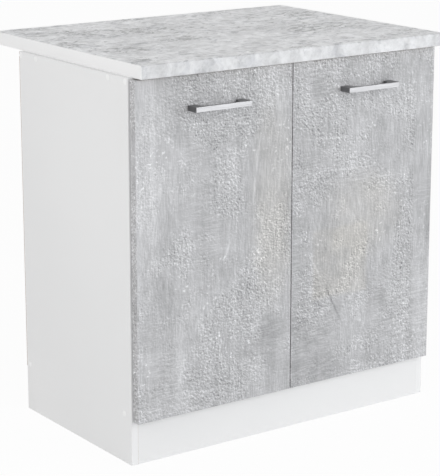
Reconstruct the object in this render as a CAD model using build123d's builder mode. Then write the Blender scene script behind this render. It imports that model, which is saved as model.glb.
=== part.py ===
from build123d import *
import os

os.makedirs("parts", exist_ok=True)

# A two-door base cabinet with a worktop laid on it. Millimetres, Z up, front towards -Y.
# The origin is under the middle of the whole object's box, on the floor.

# Carcass
carcass_width = 800.0
carcass_depth = 440.0
carcass_height = 820.0
board = 16.0
edge_band = 0.8
band_rounding = 0.6
plinth_height = 100.0
rail_depth = 100.0
back_thickness = 3.0
back_margin = 1.0
back_strip_width = 20.0
back_strip_wall = 0.8
back_strip_web = 1.6

# Shelf
shelf_top = 464.0
shelf_side_gap = 1.0
shelf_setback = 24.0
shelf_back_gap = 6.0
shelf_hole_step = 64.0
shelf_hole_inset = 62.0
shelf_pin_radius = 2.5
shelf_pin_depth = 8.0
shelf_support = (9.0, 8.0, 3.0)

# Worktop
worktop_length = carcass_width
worktop_depth = 600.0
worktop_thickness = 28.0
worktop_shift = 11.0
front_overhang = 33.0
laminate = 0.8
worktop_edge_radius = 3.5
worktop_end_band = 1.2

# Doors
door_thickness = 18.0
door_gap = 2.0
side_reveal = 3.5
centre_gap = 3.0
top_gap = 3.0
door_below_bottom_panel = 4.0
door_band = 0.8

# Handles
handle_length = 140.0
handle_height = 11.0
handle_projection = 31.0
handle_bar_depth = 6.0
handle_leg_width = 20.0
handle_inner_radius = 20.0
handle_edge_softening = 0.6
handle_screw_spacing = 128.0
handle_below_door_top = 68.0
handle_screw_radius = 2.0
handle_screw_bite = 10.0
handle_screw_head = (3.8, 2.2)

# Carcass fasteners
hole_clearance = 0.05
carcass_screw_radius = 3.5
carcass_screw_length = 50.0
carcass_screw_head = (5.0, 3.0)
cap_radius = 6.5
cap_thickness = 0.8
rail_screw_insets = (9.0, 74.0)
bottom_screw_front_inset = 27.0
bottom_screw_rear_inset = 16.0
dowel_radius = 4.0
dowel_length = 30.0
dowel_in_side = 11.0
dowel_end_space = 0.5
bottom_dowel_front_inset = 150.0
bottom_dowel_rear_inset = 140.0
rail_dowel_inset = 42.0
nail_radius = 0.8
nail_length = 20.0
nail_head = (1.8, 0.6)
nail_spacing = 130.0
cross_nail_inset = 80.0
worktop_screw_radius = 2.0
worktop_screw_length = 30.0
worktop_screw_head = (3.8, 2.4)
worktop_screw_side_inset = 120.0
bracket_leg = 25.0
bracket_width = 20.0
bracket_thickness = 1.5
bracket_hole_from_corner = 15.0
bracket_inset = 200.0
bracket_screw_radius = 1.75
bracket_screw_length = 13.0
bracket_screw_head = (3.2, 1.8)

# Door buffers
buffer_radius = 4.0
buffer_clearance = 0.3
buffer_from_free_edge = 30.0

# Concealed hinges: u runs from the side panel's inner face towards the cabinet's middle,
# v runs from the front plane of the carcass into the cabinet.
hinge_inset = 95.0
cup_radius = 17.5
cup_depth = 12.5
cup_wall = 0.8
cup_u = 9.5
cup_wing_thickness = 1.2
cup_wing_radius = 6.5
cup_lip_radius = 19.0
cup_screw_shift = 9.5
cup_screw_spacing = 45.0
cup_screw_radius = 1.75
cup_screw_length = 12.0
cup_screw_head = (3.2, 1.8)
cup_lug_half_width = 3.3
cup_lip_gap = 9.6
cup_notch_depth = 3.0
cup_pin_overhang = 0.6
plate_thickness = 2.0
plate_screw_v = 37.0
plate_screw_spacing = 32.0
plate_screw_radius = 3.0
plate_screw_length = 12.0
plate_screw_head = (4.2, 2.0)
plate_wing_radius = 7.5
plate_body_width = 18.0
arm_front_v = 18.0
arm_rear_v = 60.0
arm_rail_height = 10.0
arm_wall = 1.2
arm_shoulder = 6.0
arm_nose_radius = 3.0
arm_foot_gap = 1.0
arm_screw_radius = 2.0
arm_screw_length = 7.0
arm_screw_head = (3.4, 1.6)
arm_screw_vs = (34.0, 52.0)
pin_radius = 1.2
fork_pin_radius = 1.0
rivet_head = (1.9, 0.6)
running_clearance = 0.05
inner_arm_pin = (21.79, 1.51)
outer_arm_pin = (27.90, 1.59)
inner_cup_pin_from_centre = 13.10
inner_cup_pin_depth = 7.06
outer_cup_pin_from_centre = 11.27
outer_cup_pin_depth = 2.40
inner_cup_pin = (cup_u - inner_cup_pin_from_centre, -door_gap - inner_cup_pin_depth)
outer_cup_pin = (cup_u - outer_cup_pin_from_centre, -door_gap - outer_cup_pin_depth)
inner_link_bend = (3.73, -10.93)
outer_link_bend = (17.40, -7.58)
fork_root = (2.60, -3.90)
fork_tip_u = -2.90
fork_slot_end_u = 1.65
link_thickness = 1.8
link_eye_radius = 2.0
fork_slot_width = 3.0
fork_width = 4.4
link_space = 0.4
inner_link_half = 3.2
outer_link_wall = 3.4

# Planes and edges that the pieces share
left_reach = -cap_thickness
right_reach = worktop_shift + worktop_length
front_reach = -(door_gap + door_thickness + handle_projection)
rear_reach = worktop_depth - front_overhang
left = -(left_reach + right_reach) / 2
front = -(front_reach + rear_reach) / 2
right = left + carcass_width
rear = front + carcass_depth
inner_left = left + board
inner_right = right - board
middle = (left + right) / 2
board_front = front + edge_band
back_front = rear - back_thickness
bottom_low = plinth_height
bottom_high = bottom_low + board
rail_low = carcass_height - board
worktop_left = left + worktop_shift
worktop_right = worktop_left + worktop_length
worktop_front = front - front_overhang
worktop_rear = worktop_front + worktop_depth
worktop_top = carcass_height + worktop_thickness
door_back = front - door_gap
door_front = door_back - door_thickness
door_low = bottom_low - door_below_bottom_panel
door_high = carcass_height - top_gap
door_edges = {
    "left": (left + side_reveal, middle - centre_gap / 2),
    "right": (middle + centre_gap / 2, right - side_reveal),
}
hinge_heights = (door_low + hinge_inset, door_high - hinge_inset)
handle_centre_height = door_high - handle_below_door_top
along_x = (0, 90, 0)
along_y = (90, 0, 0)

# Widths of the hinge's layers, counted from its middle plane
outer_link_low = inner_link_half + link_space
outer_link_high = outer_link_low + outer_link_wall
cheek_low = outer_link_high + link_space
cheek_high = cheek_low + arm_wall


def block(x_span, y_span, z_span, mode=Mode.ADD):
    """Adds a block to the part in work, between a low and a high value along each axis."""
    low = (x_span[0], y_span[0], z_span[0])
    size = (x_span[1] - x_span[0], y_span[1] - y_span[0], z_span[1] - z_span[0])
    with Locations(low):
        Box(*size, align=(Align.MIN, Align.MIN, Align.MIN), mode=mode)


def rods(centres, radius, length, turned=(0, 0, 0), mode=Mode.ADD):
    """Adds or cuts round rods centred on the given points of the part in work."""
    with Locations(*centres):
        Cylinder(radius, length, rotation=turned, mode=mode)


def save(piece, name):
    """Labels a finished piece and writes it."""
    piece.part.label = name
    export_step(piece.part, f"parts/{name}.step")


def pan_head_screw(radius, length, head):
    """One screw along Z: the underside of its head is at the origin and its tip points down."""
    head_radius, head_height = head
    with BuildPart() as screw:
        Cylinder(radius, length, align=(Align.CENTER, Align.CENTER, Align.MAX))
        Cylinder(head_radius, head_height, align=(Align.CENTER, Align.CENTER, Align.MIN))
        crown = screw.edges().filter_by(GeomType.CIRCLE).sort_by(Axis.Z)[-1]
        fillet(crown, head_height * 0.4)
        with Locations((0, 0, head_height)):
            Box(head_radius, head_height * 0.4, head_height * 0.6, mode=Mode.SUBTRACT)
            Box(head_height * 0.4, head_radius, head_height * 0.6, mode=Mode.SUBTRACT)
    return screw.part


def screw_group(screw, places):
    """Copies of one screw as separate solids, each at its own place and direction."""
    with BuildPart() as group:
        with Locations(*places):
            add(screw)
    return group


def round_front_edges(bands, along):
    """Rounds the front edges of the edge bands in work that run along one axis."""
    fillet(bands.edges().filter_by(along).group_by(Axis.Y)[0], band_rounding)


# Directions of screws, as the turn that takes +Z to where the head points
head_to_left = (0, -90, 0)
head_to_right = (0, 90, 0)
head_to_rear = (-90, 0, 0)
head_down = (180, 0, 0)


# Places of the carcass fasteners, as (y, z) on the side panels
rail_middle = carcass_height - board / 2
bottom_middle = bottom_low + board / 2
front_rail_screws = [(front + inset, rail_middle) for inset in rail_screw_insets]
rear_rail_screws = [(rear - inset, rail_middle) for inset in rail_screw_insets]
bottom_screw_depths = (front + bottom_screw_front_inset, rear - bottom_screw_rear_inset)
bottom_screws = [(y, bottom_middle) for y in bottom_screw_depths]
screw_spots = front_rail_screws + rear_rail_screws + bottom_screws
front_rail_dowels = [(front + rail_dowel_inset, rail_middle)]
rear_rail_dowels = [(rear - rail_dowel_inset, rail_middle)]
bottom_dowel_depths = (front + bottom_dowel_front_inset, rear - bottom_dowel_rear_inset)
bottom_dowels = [(y, bottom_middle) for y in bottom_dowel_depths]
dowel_spots = front_rail_dowels + rear_rail_dowels + bottom_dowels
shelf_low = shelf_top - board
shelf_hole_height = shelf_low - shelf_support[2] / 2
shelf_hole_heights = [shelf_hole_height + step * shelf_hole_step for step in (-1, 0, 1)]
shelf_hole_rows = (front + shelf_hole_inset, rear - shelf_hole_inset)


def nail_line(low, high):
    """Evenly spaced places between two ends, about one nail spacing apart."""
    count = max(2, round((high - low) / nail_spacing) + 1)
    return [low + (high - low) * step / (count - 1) for step in range(count)]


side_nail_heights = nail_line(bottom_high + board, carcass_height - 2 * board)
cross_nail_places = nail_line(left + cross_nail_inset, middle - 2 * back_strip_width) + nail_line(
    middle + 2 * back_strip_width, right - cross_nail_inset
)
side_nails = [(x, z) for x in (left + board / 2, right - board / 2) for z in side_nail_heights]
cross_nails = [(x, z) for x in cross_nail_places for z in (bottom_middle, rail_middle)]
nail_reach = nail_length - back_thickness


def nail_holes(spots, clearance=0.0):
    """Cuts the holes of the back panel's nails through the part in work."""
    centres = [(x, rear - nail_length / 2, z) for x, z in spots]
    rods(centres, nail_radius + clearance, nail_length, along_y, mode=Mode.SUBTRACT)


plate_screw_spots = [
    (front + plate_screw_v, height + side * plate_screw_spacing / 2)
    for height in hinge_heights
    for side in (-1, 1)
]
plinth_back = front + board
bracket_middle = plinth_height / 2
bracket_places = (middle - bracket_inset, middle + bracket_inset)
bracket_bite = bracket_screw_length - bracket_thickness


def side_panel(outer, inner):
    """A side panel with its holes for screws, dowels, shelf pins, hinge plates and nails."""
    inward = 1 if inner > outer else -1
    low, high = sorted((outer, inner))
    centre = (outer + inner) / 2
    head_radius, head_height = carcass_screw_head
    with BuildPart() as panel:
        block((low, high), (board_front, back_front), (0, carcass_height))
        rods(
            [(centre, y, z) for y, z in screw_spots],
            carcass_screw_radius + hole_clearance,
            board,
            along_x,
            mode=Mode.SUBTRACT,
        )
        rods(
            [(outer + inward * head_height / 2, y, z) for y, z in screw_spots],
            head_radius + hole_clearance,
            head_height,
            along_x,
            mode=Mode.SUBTRACT,
        )
        dowel_hole = dowel_in_side + dowel_end_space
        rods(
            [(inner - inward * dowel_hole / 2, y, z) for y, z in dowel_spots],
            dowel_radius + hole_clearance,
            dowel_hole,
            along_x,
            mode=Mode.SUBTRACT,
        )
        pin_hole = shelf_pin_depth + dowel_end_space
        rods(
            [
                (inner - inward * pin_hole / 2, y, z)
                for y in shelf_hole_rows
                for z in shelf_hole_heights
            ],
            shelf_pin_radius + hole_clearance,
            pin_hole,
            along_x,
            mode=Mode.SUBTRACT,
        )
        plate_hole = plate_screw_length - plate_thickness
        rods(
            [(inner - inward * plate_hole / 2, y, z) for y, z in plate_screw_spots],
            plate_screw_radius,
            plate_hole,
            along_x,
            mode=Mode.SUBTRACT,
        )
        rods(
            [(inner - inward * bracket_bite / 2, plinth_back + bracket_hole_from_corner, bracket_middle)],
            bracket_screw_radius,
            bracket_bite,
            along_x,
            mode=Mode.SUBTRACT,
        )
        nail_holes([(x, z) for x, z in side_nails if low < x < high])
    return panel


left_side_panel = side_panel(left, inner_left)
save(left_side_panel, "left_side_panel")
right_side_panel = side_panel(right, inner_right)
save(right_side_panel, "right_side_panel")

with BuildPart() as side_edge_bands:
    for low, high in ((left, inner_left), (inner_right, right)):
        block((low, high), (front, board_front), (0, carcass_height))
    round_front_edges(side_edge_bands, Axis.Z)
save(side_edge_bands, "side_edge_bands")


def end_holes(spots, radius, depth):
    """Cuts holes into both ends of a board that stands between the side panels."""
    centres = [(inner_left + depth / 2, y, z) for y, z in spots]
    centres += [(inner_right - depth / 2, y, z) for y, z in spots]
    rods(centres, radius, depth, along_x, mode=Mode.SUBTRACT)


screw_end_depth = carcass_screw_length + carcass_screw_head[1] - board
dowel_end_depth = dowel_length - dowel_in_side + dowel_end_space


def cross_board(y_span, z_span, screws, dowels):
    """Adds a board between the side panels, with its end holes and its nail holes at the back."""
    block((inner_left, inner_right), y_span, z_span)
    end_holes(screws, carcass_screw_radius + hole_clearance, screw_end_depth)
    end_holes(dowels, dowel_radius + hole_clearance, dowel_end_depth)


with BuildPart() as bottom_panel:
    cross_board((board_front, back_front), (bottom_low, bottom_high), bottom_screws, bottom_dowels)
    nail_holes([(x, z) for x, z in cross_nails if z == bottom_middle])
    rods(
        [(x, plinth_back + bracket_hole_from_corner, bottom_low + bracket_bite / 2) for x in bracket_places],
        bracket_screw_radius,
        bracket_bite,
        mode=Mode.SUBTRACT,
    )
save(bottom_panel, "bottom_panel")

worktop_screw_places = [
    (x, y)
    for x in (inner_left + worktop_screw_side_inset, inner_right - worktop_screw_side_inset)
    for y in (front + rail_depth / 2, back_front - rail_depth / 2)
]
worktop_screw_bite = worktop_screw_length - board


def worktop_screw_holes(y_span):
    """Cuts the clearance holes of the worktop screws through a rail."""
    centres = [(x, y, rail_middle) for x, y in worktop_screw_places if y_span[0] < y < y_span[1]]
    rods(centres, worktop_screw_radius + hole_clearance, board, mode=Mode.SUBTRACT)


with BuildPart() as front_top_rail:
    front_rail_span = (board_front, front + rail_depth)
    cross_board(front_rail_span, (rail_low, carcass_height), front_rail_screws, front_rail_dowels)
    worktop_screw_holes(front_rail_span)
save(front_top_rail, "front_top_rail")

with BuildPart() as rear_top_rail:
    rear_rail_span = (back_front - rail_depth, back_front)
    cross_board(rear_rail_span, (rail_low, carcass_height), rear_rail_screws, rear_rail_dowels)
    worktop_screw_holes(rear_rail_span)
    nail_holes([(x, z) for x, z in cross_nails if z == rail_middle])
save(rear_top_rail, "rear_top_rail")

with BuildPart() as cross_edge_bands:
    for low, high in ((bottom_low, bottom_high), (rail_low, carcass_height)):
        block((inner_left, inner_right), (front, board_front), (low, high))
    round_front_edges(cross_edge_bands, Axis.X)
save(cross_edge_bands, "cross_edge_bands")

with BuildPart() as plinth_board:
    block((inner_left, inner_right), (front, plinth_back), (0, plinth_height))
    rods(
        [
            (inner_left + bracket_hole_from_corner, plinth_back - bracket_bite / 2, bracket_middle),
            (inner_right - bracket_hole_from_corner, plinth_back - bracket_bite / 2, bracket_middle),
        ],
        bracket_screw_radius,
        bracket_bite,
        along_y,
        mode=Mode.SUBTRACT,
    )
    rods(
        [
            (x, plinth_back - bracket_bite / 2, plinth_height - bracket_hole_from_corner)
            for x in bracket_places
        ],
        bracket_screw_radius,
        bracket_bite,
        along_y,
        mode=Mode.SUBTRACT,
    )
save(plinth_board, "plinth_board")

# Angle brackets behind the plinth: one in each corner, two under the bottom panel
with BuildPart() as plinth_brackets:
    corner_low = bracket_middle - bracket_width / 2
    corner_high = bracket_middle + bracket_width / 2
    for wall, inward in ((inner_left, 1), (inner_right, -1)):
        foot = sorted((wall, wall + inward * bracket_leg))
        upright = sorted((wall, wall + inward * bracket_thickness))
        block(foot, (plinth_back, plinth_back + bracket_thickness), (corner_low, corner_high))
        block(upright, (plinth_back, plinth_back + bracket_leg), (corner_low, corner_high))
    for x in bracket_places:
        span = (x - bracket_width / 2, x + bracket_width / 2)
        hanging = (plinth_height - bracket_leg, plinth_height)
        lying = (plinth_height - bracket_thickness, plinth_height)
        block(span, (plinth_back, plinth_back + bracket_thickness), hanging)
        block(span, (plinth_back, plinth_back + bracket_leg), lying)
    hole = bracket_screw_radius
    depth = 2 * bracket_thickness
    near_plinth = plinth_back + bracket_thickness / 2
    off_plinth = plinth_back + bracket_hole_from_corner
    for wall, inward in ((inner_left, 1), (inner_right, -1)):
        rods(
            [(wall + inward * bracket_hole_from_corner, near_plinth, bracket_middle)],
            hole,
            depth,
            along_y,
            mode=Mode.SUBTRACT,
        )
        rods([(wall, off_plinth, bracket_middle)], hole, 2 * depth, along_x, mode=Mode.SUBTRACT)
    for x in bracket_places:
        rods(
            [(x, near_plinth, plinth_height - bracket_hole_from_corner)],
            hole,
            depth,
            along_y,
            mode=Mode.SUBTRACT,
        )
        rods([(x, off_plinth, plinth_height)], hole, 2 * depth, mode=Mode.SUBTRACT)
save(plinth_brackets, "plinth_brackets")

bracket_screw = pan_head_screw(bracket_screw_radius, bracket_screw_length, bracket_screw_head)
bracket_screw_places = []
for wall, inward, turned in ((inner_left, 1, head_to_right), (inner_right, -1, head_to_left)):
    on_plinth = (
        wall + inward * bracket_hole_from_corner,
        plinth_back + bracket_thickness,
        bracket_middle,
    )
    on_side = (
        wall + inward * bracket_thickness,
        plinth_back + bracket_hole_from_corner,
        bracket_middle,
    )
    bracket_screw_places.append(Location(on_plinth, head_to_rear))
    bracket_screw_places.append(Location(on_side, turned))
for x in bracket_places:
    on_plinth = (x, plinth_back + bracket_thickness, plinth_height - bracket_hole_from_corner)
    under_panel = (x, plinth_back + bracket_hole_from_corner, plinth_height - bracket_thickness)
    bracket_screw_places.append(Location(on_plinth, head_to_rear))
    bracket_screw_places.append(Location(under_panel, head_down))
plinth_screws = screw_group(bracket_screw, bracket_screw_places)
save(plinth_screws, "plinth_screws")


def carcass_screw_solid():
    """A long connecting screw with a flat sunk head. The head's top is at the origin."""
    head_radius, head_height = carcass_screw_head
    with BuildPart() as screw:
        with BuildSketch(Plane.XZ):
            with BuildLine():
                Polyline(
                    (0, 0),
                    (head_radius, 0),
                    (head_radius, -head_height),
                    (carcass_screw_radius, -head_height),
                    (carcass_screw_radius, -carcass_screw_length),
                    (0, -carcass_screw_length - head_height),
                    close=True,
                )
            make_face()
        revolve(axis=Axis.Z)
        with BuildSketch():
            RegularPolygon(head_radius / 2, 6)
        extrude(amount=-head_height * 0.7, mode=Mode.SUBTRACT)
    return screw.part


carcass_screw = carcass_screw_solid()
carcass_screw_places = [Location((left, y, z), head_to_left) for y, z in screw_spots]
carcass_screw_places += [Location((right, y, z), head_to_right) for y, z in screw_spots]
carcass_screws = screw_group(carcass_screw, carcass_screw_places)
save(carcass_screws, "carcass_screws")

with BuildPart() as screw_cap:
    Cylinder(cap_radius, cap_thickness, align=(Align.CENTER, Align.CENTER, Align.MIN))
    rim = screw_cap.edges().filter_by(GeomType.CIRCLE).sort_by(Axis.Z)[-1]
    fillet(rim, cap_thickness * 0.6)
screw_caps = screw_group(screw_cap.part, carcass_screw_places)
save(screw_caps, "screw_caps")

with BuildPart() as wood_dowels:
    dowel_shift = dowel_length / 2 - dowel_in_side
    rods(
        [(inner_left + dowel_shift, y, z) for y, z in dowel_spots]
        + [(inner_right - dowel_shift, y, z) for y, z in dowel_spots],
        dowel_radius,
        dowel_length,
        along_x,
    )
    chamfer(wood_dowels.edges().filter_by(GeomType.CIRCLE), dowel_radius / 5)
save(wood_dowels, "wood_dowels")

# Back panel in two halves that meet in a joint strip
back_left_span = (left + back_margin, middle - back_strip_web / 2)
back_right_span = (middle + back_strip_web / 2, right - back_margin)
back_height = (bottom_low + back_margin, carcass_height - back_margin)


def back_half(x_span):
    """One half of the thin back panel, with its nail holes."""
    with BuildPart() as half:
        block(x_span, (back_front, rear), back_height)
        nail_holes([(x, z) for x, z in side_nails + cross_nails if x_span[0] < x < x_span[1]])
    return half


back_panel_left = back_half(back_left_span)
save(back_panel_left, "back_panel_left")
back_panel_right = back_half(back_right_span)
save(back_panel_right, "back_panel_right")

with BuildPart() as back_joint_strip:
    strip_span = (middle - back_strip_width / 2, middle + back_strip_width / 2)
    web_span = (middle - back_strip_web / 2, middle + back_strip_web / 2)
    inside_height = (bottom_high, rail_low)
    block(strip_span, (back_front - back_strip_wall, back_front), inside_height)
    block(web_span, (back_front, rear), back_height)
    block(strip_span, (rear, rear + back_strip_wall), back_height)
save(back_joint_strip, "back_joint_strip")

with BuildPart() as back_nails:
    for x, z in side_nails + cross_nails:
        rods([(x, rear - nail_reach / 2 - back_thickness / 2, z)], nail_radius, nail_length, along_y)
        head_radius, head_height = nail_head
        rods([(x, rear + head_height / 2, z)], head_radius, head_height, along_y)
save(back_nails, "back_nails")

# Shelf on four push-in supports
shelf_span = (inner_left + shelf_side_gap, inner_right - shelf_side_gap)
shelf_front = front + shelf_setback
shelf_rear = back_front - shelf_back_gap

with BuildPart() as shelf:
    block(shelf_span, (shelf_front + edge_band, shelf_rear), (shelf_low, shelf_top))
save(shelf, "shelf")

with BuildPart() as shelf_edge_band:
    block(shelf_span, (shelf_front, shelf_front + edge_band), (shelf_low, shelf_top))
    round_front_edges(shelf_edge_band, Axis.X)
save(shelf_edge_band, "shelf_edge_band")

with BuildPart() as shelf_supports:
    for wall, inward in ((inner_left, 1), (inner_right, -1)):
        for y in shelf_hole_rows:
            length, width, height = shelf_support
            block(
                sorted((wall, wall + inward * length)),
                (y - width / 2, y + width / 2),
                (shelf_low - height, shelf_low),
            )
            rods(
                [(wall - inward * shelf_pin_depth / 2, y, shelf_hole_height)],
                shelf_pin_radius,
                shelf_pin_depth,
                along_x,
            )
save(shelf_supports, "shelf_supports")


# Worktop: a board with laminate over its top and front, and a band on each end
def worktop_profile(inset):
    """The worktop's cross-section, drawn in by a skin's thickness at its top and front."""
    low_corner = (worktop_front + inset, carcass_height)
    size = (worktop_depth - inset, worktop_thickness - inset)
    with BuildSketch() as profile:
        with Locations(low_corner):
            Rectangle(*size, align=(Align.MIN, Align.MIN))
        front_corners = profile.vertices().group_by(Axis.X)[0]
        fillet(front_corners.sort_by(Axis.Y)[-1], worktop_edge_radius - inset)
    return profile.sketch


board_left = worktop_left + worktop_end_band
board_right = worktop_right - worktop_end_band
worktop_whole = worktop_profile(0)
worktop_inside = worktop_profile(laminate)

with BuildPart() as worktop_board:
    with BuildSketch(Plane.YZ.offset(board_left)):
        add(worktop_inside)
    extrude(amount=board_right - board_left)
    rods(
        [(x, y, carcass_height + worktop_screw_bite / 2) for x, y in worktop_screw_places],
        worktop_screw_radius,
        worktop_screw_bite,
        mode=Mode.SUBTRACT,
    )
save(worktop_board, "worktop_board")

with BuildPart() as worktop_laminate:
    with BuildSketch(Plane.YZ.offset(board_left)):
        add(worktop_whole)
        add(worktop_inside, mode=Mode.SUBTRACT)
    extrude(amount=board_right - board_left)
save(worktop_laminate, "worktop_laminate")

with BuildPart() as worktop_end_bands:
    for start in (worktop_left, board_right):
        with BuildSketch(Plane.YZ.offset(start)):
            add(worktop_whole)
        extrude(amount=worktop_end_band)
    end_faces = worktop_end_bands.faces().filter_by(Axis.X).group_by(Axis.X)
    fillet(end_faces[0].edges() + end_faces[-1].edges(), band_rounding)
save(worktop_end_bands, "worktop_end_bands")

worktop_screw = pan_head_screw(worktop_screw_radius, worktop_screw_length, worktop_screw_head)
worktop_screws = screw_group(
    worktop_screw, [Location((x, y, rail_low), head_down) for x, y in worktop_screw_places]
)
save(worktop_screws, "worktop_screws")


# Doors
def hinge_x(side, u):
    """X of a point u away from the inner face of the side panel that carries the hinge."""
    return inner_left + u if side == "left" else inner_right - u


def handle_screw_xs(side):
    """X of a door's two handle screws."""
    centre = sum(door_edges[side]) / 2
    return [centre - handle_screw_spacing / 2, centre + handle_screw_spacing / 2]


def cup_screw_spots(side):
    """(x, z) of the screws of a door's hinge cups."""
    x = hinge_x(side, cup_u + cup_screw_shift)
    return [(x, z + end * cup_screw_spacing / 2) for z in hinge_heights for end in (-1, 1)]


def door_panel(side):
    """A door board with its cup pockets, cup screw holes and handle screw holes."""
    low, high = door_edges[side]
    door_middle = (door_back + door_front) / 2
    with BuildPart() as panel:
        block(
            (low + door_band, high - door_band),
            (door_front, door_back),
            (door_low + door_band, door_high - door_band),
        )
        rods(
            [(hinge_x(side, cup_u), door_back - cup_depth / 2, z) for z in hinge_heights],
            cup_radius,
            cup_depth,
            along_y,
            mode=Mode.SUBTRACT,
        )
        bite = cup_screw_length - cup_wing_thickness
        rods(
            [(x, door_back - bite / 2, z) for x, z in cup_screw_spots(side)],
            cup_screw_radius,
            bite,
            along_y,
            mode=Mode.SUBTRACT,
        )
        rods(
            [(x, door_middle, handle_centre_height) for x in handle_screw_xs(side)],
            handle_screw_radius + hole_clearance,
            door_thickness,
            along_y,
            mode=Mode.SUBTRACT,
        )
    return panel


def door_bands(side):
    """The four bands on a door's edges, the upright ones over the ends of the level ones."""
    low, high = door_edges[side]
    with BuildPart() as bands:
        for start in (low, high - door_band):
            block((start, start + door_band), (door_front, door_back), (door_low, door_high))
        for start in (door_low, door_high - door_band):
            block(
                (low + door_band, high - door_band),
                (door_front, door_back),
                (start, start + door_band),
            )
        level = bands.edges().filter_by(Axis.X).group_by(Axis.Z)
        upright = bands.edges().filter_by(Axis.Z).group_by(Axis.X)
        corners = bands.edges().filter_by(Axis.Y).group_by(Axis.X)
        outer_edges = level[0] + level[-1] + upright[0] + upright[-1] + corners[0] + corners[-1]
        fillet(outer_edges, band_rounding)
    return bands


def bar_handle(side):
    """A flat bar on two legs that widen into it with a large inner radius."""
    centre = sum(door_edges[side]) / 2
    bar_front = door_front - handle_projection
    bar_back = bar_front + handle_bar_depth
    opening = handle_length - 2 * handle_leg_width
    with BuildPart() as handle:
        with BuildSketch(Plane.XY.offset(handle_centre_height - handle_height / 2)) as plan:
            with Locations((centre, bar_front)):
                Rectangle(handle_length, handle_projection, align=(Align.CENTER, Align.MIN))
            with Locations((centre, bar_back)):
                Rectangle(
                    opening,
                    handle_projection - handle_bar_depth,
                    align=(Align.CENTER, Align.MIN),
                    mode=Mode.SUBTRACT,
                )
            inner_corners = plan.vertices().group_by(Axis.Y)[1]
            fillet(inner_corners, handle_inner_radius)
        extrude(amount=handle_height)
        long_edges = handle.edges().filter_by(Axis.X)
        front_edges = long_edges.group_by(Axis.Y)[0]
        end_edges = handle.edges().filter_by(Axis.Z).group_by(Axis.Y)[0]
        fillet(front_edges + end_edges, handle_edge_softening)
        rods(
            [(x, door_front - handle_screw_bite / 2, handle_centre_height) for x in handle_screw_xs(side)],
            handle_screw_radius,
            handle_screw_bite,
            along_y,
            mode=Mode.SUBTRACT,
        )
    return handle


handle_screw = pan_head_screw(
    handle_screw_radius, door_thickness + handle_screw_bite, handle_screw_head
)


def handle_screw_pair(side):
    """The two screws that hold a handle, put in from behind the door."""
    places = [
        Location((x, door_back, handle_centre_height), head_to_rear) for x in handle_screw_xs(side)
    ]
    return screw_group(handle_screw, places)


def door_buffers(side):
    """Two soft discs behind a door's free edge, which meet the front of the carcass."""
    low, high = door_edges[side]
    x = high - buffer_from_free_edge if side == "left" else low + buffer_from_free_edge
    thickness = door_gap - buffer_clearance
    with BuildPart() as buffers:
        rods(
            [(x, door_back + thickness / 2, z) for z in (bottom_middle, rail_middle)],
            buffer_radius,
            thickness,
            along_y,
        )
    return buffers


# Concealed hinges
def hinge_point(side, point):
    """A point of the hinge's plan in the cabinet's X and Y."""
    u, v = point
    return (hinge_x(side, u), front + v)


def hinge_plates(side):
    """Mounting plates: a flat base with two wings for the screws, and a raised rail."""
    wall = hinge_x(side, 0)
    plane = Plane(origin=(wall, 0, 0), x_dir=(0, 1, 0), z_dir=(1 if side == "left" else -1, 0, 0))
    flip = 1 if side == "left" else -1
    arm_middle = front + (arm_front_v + arm_rear_v) / 2
    arm_length = arm_rear_v - arm_front_v
    with BuildPart() as plates:
        for height in hinge_heights:
            with BuildSketch(plane):
                with Locations((arm_middle, flip * height)):
                    Rectangle(arm_length, plate_body_width)
                with Locations((front + plate_screw_v, flip * height)):
                    SlotCenterToCenter(plate_screw_spacing, 2 * plate_wing_radius, rotation=90)
                for end in (-1, 1):
                    screw_z = height + end * plate_screw_spacing / 2
                    with Locations((front + plate_screw_v, flip * screw_z)):
                        Circle(plate_screw_radius, mode=Mode.SUBTRACT)
            extrude(amount=plate_thickness)
            with BuildSketch(plane.offset(plate_thickness)):
                with Locations((arm_middle, flip * height)):
                    Rectangle(arm_length, 2 * cheek_low)
            extrude(amount=arm_rail_height - plate_thickness)
        rods(
            [
                (hinge_x(side, arm_rail_height / 2), front + v, height)
                for v in arm_screw_vs
                for height in hinge_heights
            ],
            arm_screw_radius,
            2 * arm_screw_length,
            along_x,
            mode=Mode.SUBTRACT,
        )
        block(
            sorted((wall, hinge_x(side, -board))),
            (front, rear),
            (0, carcass_height),
            mode=Mode.SUBTRACT,
        )
    return plates


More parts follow.
